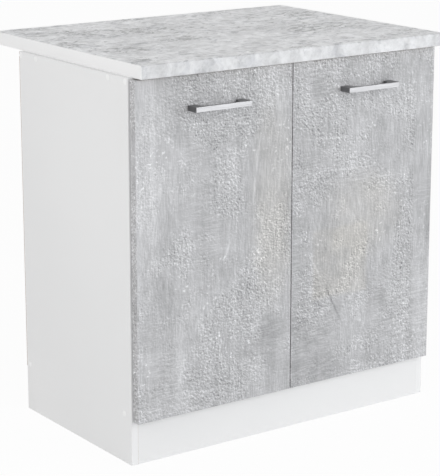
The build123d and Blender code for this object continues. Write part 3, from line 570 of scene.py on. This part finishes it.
def concrete(name, shift, marks, ground, way=None):
    """Printed concrete: soft bands and clouds, brushing, speckle with painted highlights and painted
    shade that make it look embossed, worn flecks and marks.

    The shift moves the pattern, and the way is that of a board's thickness where it has cut edges.
    """
    material, tree, surface, where = start_material(name)

    # Soft tone: wide clouds, upright bands and streaks, forms with a sharp outline, small clouds
    wide = patches(tree, where, 3.0, detail=3, offset=shift)
    bands = patches(tree, where, 1.0, 0.36, 0.64, detail=3, stretch=(17, 17, 1.1), offset=shift)
    streaks = patches(tree, where, 1.0, 0.36, 0.64, stretch=(75, 75, 3.5), offset=shift)
    forms = patches(tree, where, 1.0, 0.485, 0.5, detail=0, stretch=(9, 9, 0.7), offset=shift)
    clouds = patches(tree, where, 13.0, detail=3, offset=shift, distortion=0.6)

    # Brushing, upright in some places and level in others
    level = patches(tree, where, 1.0, 0.40, 0.64, detail=2, stretch=(45, 45, 420), offset=shift)
    upright = patches(tree, where, 1.0, 0.40, 0.64, detail=2, stretch=(420, 420, 40), offset=shift)
    upright_place = patches(tree, where, 5.0, 0.4, 0.6, detail=2, offset=(shift[0] + 3, 0, shift[2]))
    brushing = blended(tree, upright_place, level, upright)

    # Speckle that looks embossed: painted highlights on its ridges and painted shade in its hollows,
    # taken from a lit and a shaded copy of one pattern, with thin curls and pits
    painted_shade_offset = (shift[0] + PAINTED_EMBOSS_SHIFT, shift[1], shift[2] + PAINTED_EMBOSS_SHIFT)
    speckle_painted_lit = patches(tree, where, 190.0, 0.34, 0.66, detail=2, roughness=0.6, offset=shift)
    speckle_painted_shaded = patches(tree, where, 190.0, 0.34, 0.66, detail=2, roughness=0.6, offset=painted_shade_offset)
    painted_emboss_light = maths(tree, "SUBTRACT", speckle_painted_lit, speckle_painted_shaded)
    painted_highlights = maths(tree, "MAXIMUM", painted_emboss_light, 0.0)
    painted_shades = maths(tree, "MINIMUM", painted_emboss_light, 0.0)
    curls = fill(tree, CURLS, {"Place": where, "Scale": 110.0, "Detail": 2.0, "Width": 0.035})
    pits = patches(tree, where, 170.0, 0.60, 0.70, detail=1, offset=(3, 1, 2))
    speckle = sum_of(tree, [(painted_highlights, 0.50), (painted_shades, 0.30), (curls, 0.30), (pits, -0.20)])

    # The speckle is coarser in places, and weaker on the smooth patches
    coarse_place = patches(tree, where, 9.0, 0.40, 0.58, detail=5, roughness=0.6, offset=shift)
    coarse = ranged(tree, coarse_place, 0, 1, 0.3, 1.3)
    plain = maths(tree, "SUBTRACT", 1.0, placed_marks(tree, where, marks["smooth"]), clamp=True)
    speckle = maths(tree, "MULTIPLY", speckle, maths(tree, "MULTIPLY", coarse, plain))

    # Worn flecks, gathered in places
    worn_place = patches(tree, where, 9.0, 0.48, 0.64, detail=5, roughness=0.6,
                         stretch=(1.2, 1.2, 0.8), offset=shift)
    flecks = patches(tree, where, 130.0, 0.58, 0.70, detail=2)
    worn = maths(tree, "MULTIPLY", worn_place, flecks)

    layers = [
        (wide, 0.07),
        (bands, 0.11),
        (streaks, 0.09),
        (forms, 0.05),
        (clouds, 0.17),
        (brushing, 0.22),
        (worn, 0.60),
        (speckle, 1.0),
    ]
    tone = placed_marks(tree, where, marks["tone"], sum_of(tree, layers, ground))

    # Warm tint, in the placed patches or else faintly all over
    warm_place = patches(tree, where, 9.0, 0.25, 0.6, offset=shift)
    if marks["warmth"]:
        warm_patches = placed_marks(tree, where, marks["warmth"])
        warmth = maths(tree, "MULTIPLY", warm_patches, ranged(tree, warm_place, 0, 1, 0.45, 0.9))
    else:
        warmth = maths(tree, "MULTIPLY", warm_place, 0.08)

    colour = toned(tree, blended(tree, warmth, CONCRETE_COOL, CONCRETE_WARM), tone)
    if way:
        cut = fill(tree, CUT_EDGE, {"Thickness Way": way, "Coated Way": (0, 0, 0)})
        colour = blended(tree, cut, colour, fill(tree, CHIPBOARD, {"Place": where}))
    rough = sum_of(tree, [(clouds, 0.12), (worn, -0.1)], 0.55)
    feed(tree, surface, {"Base Color": colour, "Roughness": rough})
    # The speckle pattern also gives the bumps; only the colour carries its painted highlights and
    # painted shade
    height = sum_of(tree, [(speckle_painted_lit, 0.5), (brushing, 0.4), (worn, 0.6), (pits, -0.8)])
    relief(tree, surface, height, 0.2, 0.3 * MM)
    return material


def marble(name, clusters):
    """Printed marble: a pale cloudy ground, short smoky veins, and dark flecks in clusters."""
    material, tree, surface, where = start_material(name)
    ground = patches(tree, where, 6.0, detail=5, roughness=0.6, distortion=0.8)
    mottle = patches(tree, where, 24.0, detail=5, roughness=0.65, distortion=0.5)
    grain = patches(tree, where, 62.0, 0.36, 0.64, detail=5, roughness=0.7, distortion=0.4)

    # Veins and smoky flecks, which run aslant
    turn = {"Vector": where, "Rotation": (0, 0, MARBLE_TURN)}
    aslant = place(tree, "ShaderNodeMapping", turn).outputs[0]
    veins = patches(tree, aslant, 20.0, 0.50, 0.68, detail=7, roughness=0.68,
                    stretch=(0.8, 1.25, 1), distortion=1.2)
    flecks = patches(tree, aslant, 46.0, 0.55, 0.70, roughness=0.65, stretch=(0.7, 1.3, 1),
                     distortion=0.8)
    smoke_place = patches(tree, where, 6.5, 0.44, 0.6, roughness=0.6, offset=(7, 3, 0))
    smoke = maths(tree, "MULTIPLY", smoke_place, flecks)

    # Dark flecks in the clusters, which are placed by X and Y
    axes = place(tree, "ShaderNodeSeparateXYZ", {0: where}).outputs
    plan = place(tree, "ShaderNodeCombineXYZ", {"X": axes["X"], "Z": axes["Y"]}).outputs[0]
    dashes = patches(tree, aslant, 60.0, 0.48, 0.62, roughness=0.65, stretch=(0.7, 1.3, 1),
                     offset=(3, 1, 0), distortion=0.8)
    dark = maths(tree, "MULTIPLY", placed_marks(tree, plan, clusters), dashes)

    # The worktop's front edge shows the fine parts weaker than its top does
    front = fill(tree, FACING, {"Way": (0, -1, 0)})
    crisp = ranged(tree, front, 0.3, 0.9, 1.0, 0.3)
    fine = sum_of(tree, [(grain, 0.36), (veins, -0.42), (smoke, -1.0), (dark, -1.0)])
    fine = maths(tree, "MULTIPLY", crisp, fine)
    tone = sum_of(tree, [(ground, 0.12), (mottle, 0.26), (fine, 1.0)], MARBLE_GROUND)
    tone = maths(tree, "MAXIMUM", tone, MARBLE_DARKEST)

    colour = toned(tree, blended(tree, veins, MARBLE_PALE, MARBLE_VEIN), tone)
    rough = sum_of(tree, [(mottle, 0.12)], 0.36)
    feed(tree, surface, {"Base Color": colour, "Roughness": rough})
    relief(tree, surface, grain, 0.06, 0.2 * MM)
    return material


def brushed(name, colour, roughness, stretch, contrast):
    """Metal brushed along one way: fine lines in tone, gloss and relief, with faint smudges.

    The stretch is small along the lines and large across them.
    """
    material, tree, surface, where = start_material(name, Metallic=1.0)
    lines = patches(tree, where, 1.0, detail=2, roughness=0.6, stretch=stretch)
    smudge = patches(tree, where, 55.0, 0.35, 0.7)
    tone = sum_of(tree, [(lines, contrast), (smudge, 0.04)], 1 - contrast)
    rough = sum_of(tree, [(lines, 0.08), (smudge, 0.06)], roughness)
    feed(tree, surface, {"Base Color": toned(tree, colour, tone), "Roughness": rough})
    relief(tree, surface, lines, 0.10, 0.05 * MM)
    return material


def plated(name, colour, roughness, contrast):
    """Plated steel: soft mottling in tone and gloss, with a trace of relief."""
    material, tree, surface, where = start_material(name, Metallic=1.0)
    mottle = patches(tree, where, 240.0, roughness=0.6)
    stain = patches(tree, where, 35.0, 0.4, 0.7, detail=3)
    tone = sum_of(tree, [(mottle, contrast), (stain, 0.06)], 0.95 - contrast)
    rough = sum_of(tree, [(mottle, 0.1), (stain, 0.08)], roughness)
    feed(tree, surface, {"Base Color": toned(tree, colour, tone), "Roughness": rough})
    relief(tree, surface, mottle, 0.08, 0.08 * MM)
    return material


def moulded(name, colour, roughness, through=0.0):
    """Moulded plastic with a fine spark-eroded grain. Some light may go through it."""
    material, tree, surface, where = start_material(name, Transmission_Weight=through)
    grain = patches(tree, where, 1400.0, detail=2)
    cloud = patches(tree, where, 90.0)
    tone = sum_of(tree, [(grain, 0.02), (cloud, 0.02)], 0.97)
    rough = sum_of(tree, [(grain, 0.1)], roughness)
    feed(tree, surface, {"Base Color": toned(tree, colour, tone), "Roughness": rough})
    relief(tree, surface, grain, 0.1, 0.06 * MM)
    return material


def hardboard(name):
    """Thin fibre board: white lacquer towards the cabinet's inside, bare brown fibres behind."""
    material, tree, surface, where = start_material(name)
    inward = fill(tree, FACING, {"Way": (0, -1, 0)})
    bare = maths(tree, "LESS_THAN", inward, LOOKS_ALONG)
    fibres = patches(tree, where, 1.0, roughness=0.7, stretch=(260, 260, 150))
    mottle = patches(tree, where, 22.0, detail=5, roughness=0.6)
    brown = blended(tree, fibres, (0.24, 0.15, 0.085, 1), (0.36, 0.235, 0.14, 1))
    brown = blended(tree, maths(tree, "MULTIPLY", mottle, 0.4), brown, (0.42, 0.29, 0.18, 1))
    lacquer = blended(tree, mottle, grey(0.77, 0.002), grey(0.80, 0.002))
    rough = ranged(tree, bare, 0, 1, 0.4, 0.75)
    feed(tree, surface, {"Base Color": blended(tree, bare, lacquer, brown), "Roughness": rough})
    relief(tree, surface, fibres, 0.2, 0.3 * MM)
    return material


def backing(name):
    """The worktop's board: brown-grey backing paper below, raw chipboard on its other sides."""
    material, tree, surface, where = start_material(name, Roughness=0.7)
    downward = fill(tree, FACING, {"Way": (0, 0, -1)})
    papered = maths(tree, "GREATER_THAN", downward, LOOKS_ALONG)
    mottle = patches(tree, where, 16.0, detail=6, roughness=0.65)
    paper = blended(tree, mottle, (0.40, 0.34, 0.27, 1), (0.49, 0.42, 0.33, 1))
    chips = fill(tree, CHIPBOARD, {"Place": where})
    feed(tree, surface, {"Base Color": blended(tree, papered, chips, paper)})
    relief(tree, surface, patches(tree, where, 500.0, detail=3), 0.15, 0.3 * MM)
    return material


def turned_wood(name):
    """Beech dowel: pale wood with short darker rays along its length."""
    material, tree, surface, where = start_material(name, Roughness=0.6)
    grain = patches(tree, where, 1.0, stretch=(60, 900, 900))
    rays = patches(tree, where, 1.0, 0.6, 0.7, detail=1, stretch=(260, 1500, 1500))
    wood = blended(tree, grain, (0.52, 0.33, 0.19, 1), (0.70, 0.50, 0.32, 1))
    feed(tree, surface, {"Base Color": blended(tree, rays, wood, (0.36, 0.21, 0.11, 1))})
    relief(tree, surface, grain, 0.2, 0.2 * MM)
    return material


WAYS = {"x": (1, 0, 0), "y": (0, 1, 0), "z": (0, 0, 1)}
board = {
    "x": melamine("white side board", WAYS["x"], WAYS["z"]),
    "y": melamine("white plinth board", WAYS["y"]),
    "z": melamine("white level board", WAYS["z"]),
}
door_face = {
    "left": concrete("left door concrete", (2.3, 0.0, 4.1), LEFT_MARKS, DOOR_GROUND, WAYS["y"]),
    "right": concrete("right door concrete", (9.7, 0.0, 1.6), RIGHT_MARKS, DOOR_GROUND, WAYS["y"]),
}
door_band = concrete("door edge band", (4.4, 0.0, 7.9), NO_MARKS, BAND_GROUND)
white_band = banding("white edge band", grey(0.87, -0.002))
worktop_band = banding("worktop end band", grey(0.90, -0.001), roughness=0.4)
marble_print = marble("marble laminate", DARK_CLUSTERS)
worktop_core = backing("worktop board")
back_board = hardboard("hardboard back")
nickel = plated("nickel plated steel", (0.62, 0.61, 0.59), 0.22, 0.10)
zinc = plated("zinc plated steel", (0.60, 0.62, 0.66), 0.30, 0.16)
galvanised = plated("galvanised bracket", (0.58, 0.60, 0.62), 0.38, 0.24)
handle_front = brushed("brushed bar front", (0.51, 0.51, 0.52), 0.34, (25, 700, 1500), 0.3)
# The handle body's darker colour is a painted reflection of dark surroundings in the metal
handle_body_painted_reflection = brushed("handle body with painted dark reflection", (0.24, 0.24, 0.245), 0.36, (40, 900, 900), 0.25)
cap_white = moulded("white screw cap", grey(0.91), 0.3)
strip_white = moulded("white joint strip", grey(0.82, -0.002), 0.4)
milky = moulded("milky buffer", grey(0.72, -0.01), 0.3, through=0.35)
beech = turned_wood("beech dowel")

finishes = {
    "left_side_panel": board["x"],
    "right_side_panel": board["x"],
    "bottom_panel": board["z"],
    "front_top_rail": board["z"],
    "rear_top_rail": board["z"],
    "shelf": board["z"],
    "plinth_board": board["y"],
    "side_edge_bands": white_band,
    "cross_edge_bands": white_band,
    "shelf_edge_band": white_band,
    "worktop_board": worktop_core,
    "worktop_laminate": marble_print,
    "worktop_end_bands": worktop_band,
    "back_panel_left": back_board,
    "back_panel_right": back_board,
    "back_joint_strip": strip_white,
    "back_nails": zinc,
    "shelf_supports": nickel,
    "wood_dowels": beech,
    "carcass_screws": zinc,
    "plinth_brackets": galvanised,
    "plinth_screws": zinc,
    "worktop_screws": zinc,
}
for side in SIDES:
    finishes[f"{side}_door_panel"] = door_face[side]
    finishes[f"{side}_door_edge_bands"] = door_band
    for part in ("plates", "arms", "arm_pins", "cups", "cup_pins", "inner_links", "outer_links"):
        finishes[f"{side}_hinge_{part}"] = nickel
    for part in ("handle", "plate", "arm", "cup"):
        finishes[f"{side}_{part}_screws"] = zinc

for name, material in finishes.items():
    mesh = nodes[name].data
    mesh.materials.clear()
    mesh.materials.append(material)


# New pieces

def add_object(name, data):
    """Puts a new object into the scene."""
    made = bpy.data.objects.new(name, data)
    scene.collection.objects.link(made)
    return made


def finished(bm, name, materials, body, node, smooth=True):
    """Turns a bmesh into a piece that stands for a CAD node and rides on its body."""
    bmesh.ops.remove_doubles(bm, verts=bm.verts[:], dist=MERGE_REACH)
    bmesh.ops.recalc_face_normals(bm, faces=bm.faces[:])
    for face in bm.faces:
        face.smooth = smooth
    mesh = bpy.data.meshes.new(name)
    bm.to_mesh(mesh)
    bm.free()
    for material in materials:
        mesh.materials.append(material)
    piece = add_object(name, mesh)
    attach(piece, body)
    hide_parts(node)


def bar_handle(side):
    """A flat bar on two legs with a large inner radius, its edges eased, its front brushed bright, its
    other faces darker with a painted reflection.
    """
    low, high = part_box(f"{side}_handle")
    middle = (low.x + high.x) / 2
    half = (high.x - low.x) / 2
    opening = half - LEG_WIDTH
    curve_y = low.y + BAR_DEPTH + INNER_RADIUS
    bm = bmesh.new()

    def half_outline(way):
        """Half of the outline, seen from above. Gives back its front corner and its curve's end."""
        outline = [(opening, curve_y), (opening, high.y), (half, high.y), (half, low.y)]
        corners = [bm.verts.new((middle + way * x, y, low.z)) for x, y in outline]
        for pair in zip(corners, corners[1:]):
            bm.edges.new(pair)
        curve = bmesh.ops.spin(
            bm,
            geom=corners[:1],
            cent=(middle + way * (opening - INNER_RADIUS), curve_y, low.z),
            axis=(0, 0, 1),
            angle=-way * math.pi / 2,
            steps=INNER_CURVE_STEPS,
        )
        curve_end = next(v for v in curve["geom_last"] if isinstance(v, bmesh.types.BMVert))
        return corners[-1], curve_end

    right_corner, right_curve_end = half_outline(1)
    left_corner, left_curve_end = half_outline(-1)
    bm.edges.new((right_corner, left_corner))
    bm.edges.new((right_curve_end, left_curve_end))
    plan = bmesh.ops.contextual_create(bm, geom=bm.edges[:])["faces"]
    raised = bmesh.ops.extrude_face_region(bm, geom=plan)["geom"]
    top = [v for v in raised if isinstance(v, bmesh.types.BMVert)]
    bmesh.ops.translate(bm, verts=top, vec=(0, 0, high.z - low.z))
    bmesh.ops.recalc_face_normals(bm, faces=bm.faces[:])
    bmesh.ops.bevel(
        bm,
        geom=[e for e in bm.edges if e.calc_face_angle(0) > SHARP_EDGE],
        offset=HANDLE_EASE,
        segments=2,
        profile=0.5,
        affect="EDGES",
        material=-1,
        clamp_overlap=True,
    )

    # The first material is on the bar's front and the second, whose darker colour is a painted
    # reflection, on everything else
    for face in bm.faces:
        face.material_index = 0 if -face.normal.y > BRIGHT_FRONT else 1
    finished(
        bm,
        f"{side}_bar_handle",
        (handle_front, handle_body_painted_reflection),
        f"{side}_door",
        f"{side}_handle",
        smooth=False,
    )


def islands(node):
    """Lowest and highest corner of each separate solid in a CAD node, in a steady order."""
    bm = bmesh.new()
    bm.from_mesh(nodes[node].data)
    bmesh.ops.remove_doubles(bm, verts=bm.verts[:], dist=MERGE_REACH)
    left_over = set(bm.verts)
    boxes = []
    while left_over:
        reached = [left_over.pop()]
        group = list(reached)
        while reached:
            vertex = reached.pop()
            for edge in vertex.link_edges:
                other = edge.other_vert(vertex)
                if other in left_over:
                    left_over.remove(other)
                    reached.append(other)
                    group.append(other)
        low = Vector([min(v.co[i] for v in group) for i in range(3)])
        high = Vector([max(v.co[i] for v in group) for i in range(3)])
        boxes.append((low, high))
    bm.free()
    return sorted(boxes, key=lambda box: tuple(round(c, 5) for c in (*box[0], *box[1])))


def domed_disc(bm, centre, outward, radius, height, rim):
    """Adds one domed disc: a short rim and a dome that is a quarter ellipse, spun about its axis."""
    profile = [(radius, 0.0), (radius, rim)]
    for step in range(1, DOME_STEPS + 1):
        angle = math.pi / 2 * step / DOME_STEPS
        profile.append((radius * math.cos(angle), rim + (height - rim) * math.sin(angle)))
    side_way = outward.orthogonal().normalized()
    line = [bm.verts.new(centre + side_way * r + outward * h) for r, h in profile]
    edges = [bm.edges.new(pair) for pair in zip(line, line[1:])]
    bmesh.ops.spin(
        bm,
        geom=line + edges,
        cent=centre,
        axis=outward,
        angle=math.tau,
        steps=DISC_STEPS,
        use_merge=True,
    )


def close_backs(bm):
    """Closes the flat backs of spun discs."""
    bmesh.ops.remove_doubles(bm, verts=bm.verts[:], dist=MERGE_REACH)
    open_edges = [e for e in bm.edges if e.is_boundary]
    bmesh.ops.holes_fill(bm, edges=open_edges, sides=0)


def screw_caps():
    """White plastic caps over the connecting screws, slightly domed."""
    bm = bmesh.new()
    for low, high in islands("screw_caps"):
        outward = Vector((1 if low.x > 0 else -1, 0, 0))
        centre = (low + high) / 2
        centre.x = low.x if low.x > 0 else high.x
        domed_disc(bm, centre, outward, CAP_RADIUS, high.x - low.x, CAP_RIM)
    close_backs(bm)
    finished(bm, "domed_screw_caps", [cap_white], "carcass", "screw_caps")


def buffers(side):
    """Soft milky discs behind a door, domed towards the carcass."""
    bm = bmesh.new()
    for low, high in islands(f"{side}_door_buffers"):
        centre = (low + high) / 2
        centre.y = low.y
        radius = (high.x - low.x) / 2
        height = high.y - low.y
        domed_disc(bm, centre, Vector((0, 1, 0)), radius, height, height * BUFFER_RIM_SHARE)
    close_backs(bm)
    finished(
        bm,
        f"{side}_soft_buffers",
        [milky],
        f"{side}_door",
        f"{side}_door_buffers",
    )


for side in SIDES:
    bar_handle(side)
    buffers(side)
screw_caps()


# Floor, light and camera

def shows_white(tree):
    """1 for rays that show the background: from the camera, from gloss and through glass."""
    path = place(tree, "ShaderNodeLightPath").outputs
    seen = maths(tree, "ADD", path["Is Camera Ray"], path["Is Glossy Ray"])
    return maths(tree, "ADD", seen, path["Is Transmission Ray"], clamp=True)


def mixed_shader(tree, share, first, second):
    """Two shaders mixed by a share."""
    inputs = {0: share, 1: first.outputs[0], 2: second.outputs[0]}
    return place(tree, "ShaderNodeMixShader", inputs)


def make_floor():
    """A plain pale floor, near the background's white, that keeps a soft shadow. Clear from below."""
    bm = bmesh.new()
    bmesh.ops.create_grid(bm, x_segments=1, y_segments=1, size=FLOOR_REACH)
    mesh = bpy.data.meshes.new("studio_floor")
    bm.to_mesh(mesh)
    bm.free()
    material = bpy.data.materials.new("pale floor")
    material.use_nodes = True
    tree = material.node_tree
    tree.nodes.clear()
    diffuse = place(tree, "ShaderNodeBsdfDiffuse", {"Color": grey(FLOOR_GREY)})
    white = place(tree, "ShaderNodeEmission", {"Color": WHITE, "Strength": 1.0})
    share = maths(tree, "MULTIPLY", shows_white(tree), FLOOR_WHITE_SHARE)
    above = mixed_shader(tree, share, diffuse, white)
    from_below = place(tree, "ShaderNodeNewGeometry").outputs["Backfacing"]
    clear = place(tree, "ShaderNodeBsdfTransparent")
    one_sided = mixed_shader(tree, from_below, above, clear)
    place(tree, "ShaderNodeOutputMaterial", {"Surface": one_sided.outputs[0]})
    mesh.materials.append(material)
    floor = add_object("studio_floor", mesh)


def make_world():
    """A soft studio: brighter around the horizon than overhead, and white where it is seen."""
    world = bpy.data.worlds.new("studio")
    scene.world = world
    world.use_nodes = True
    tree = world.node_tree
    tree.nodes.clear()
    way = place(tree, "ShaderNodeTexCoord").outputs["Generated"]
    up = place(tree, "ShaderNodeSeparateXYZ", {0: way}).outputs["Z"]
    level = ranged(tree, up, 0.0, 1.0, HORIZON_LEVEL, OVERHEAD_LEVEL)
    colour = blended(tree, shows_white(tree), level, WHITE)
    glow = place(tree, "ShaderNodeBackground", {"Color": colour, "Strength": 1.0})
    place(tree, "ShaderNodeOutputWorld", {"Surface": glow.outputs[0]})


def soft_lamp(name, where, toward, size, power, colour=(1.0, 1.0, 1.0)):
    """A large square lamp turned towards a point, its size in metres and its power in watts."""
    data = bpy.data.lights.new(name, "AREA")
    data.color = colour
    data.shape = "SQUARE"
    data.size = size
    data.energy = power
    lamp = add_object(name, data)
    lamp.location = where
    lamp.rotation_euler = (Vector(toward) - Vector(where)).to_track_quat("-Z", "Y").to_euler()


def make_camera():
    """The photograph's viewpoint."""
    data = bpy.data.cameras.new("photograph view")
    data.lens = CAMERA_LENS
    data.shift_y = CAMERA_SHIFT
    camera = add_object("photograph view", data)
    camera.location = CAMERA_PLACE
    camera.rotation_euler = (math.pi / 2 - CAMERA_PITCH, 0, CAMERA_YAW)
    scene.camera = camera


make_floor()
make_world()
soft_lamp(
    "front lamp",
    where=(1.7, -3.2, 1.3),
    toward=(0, -0.2, 0.4),
    size=2.2,
    power=44,
    colour=(0.96, 0.98, 1.0),
)
soft_lamp("left lamp", where=(-2.7, -0.9, 1.7), toward=(-0.4, -0.1, 0.5), size=1.4, power=17)
make_camera()
scene.view_settings.view_transform = "Standard"
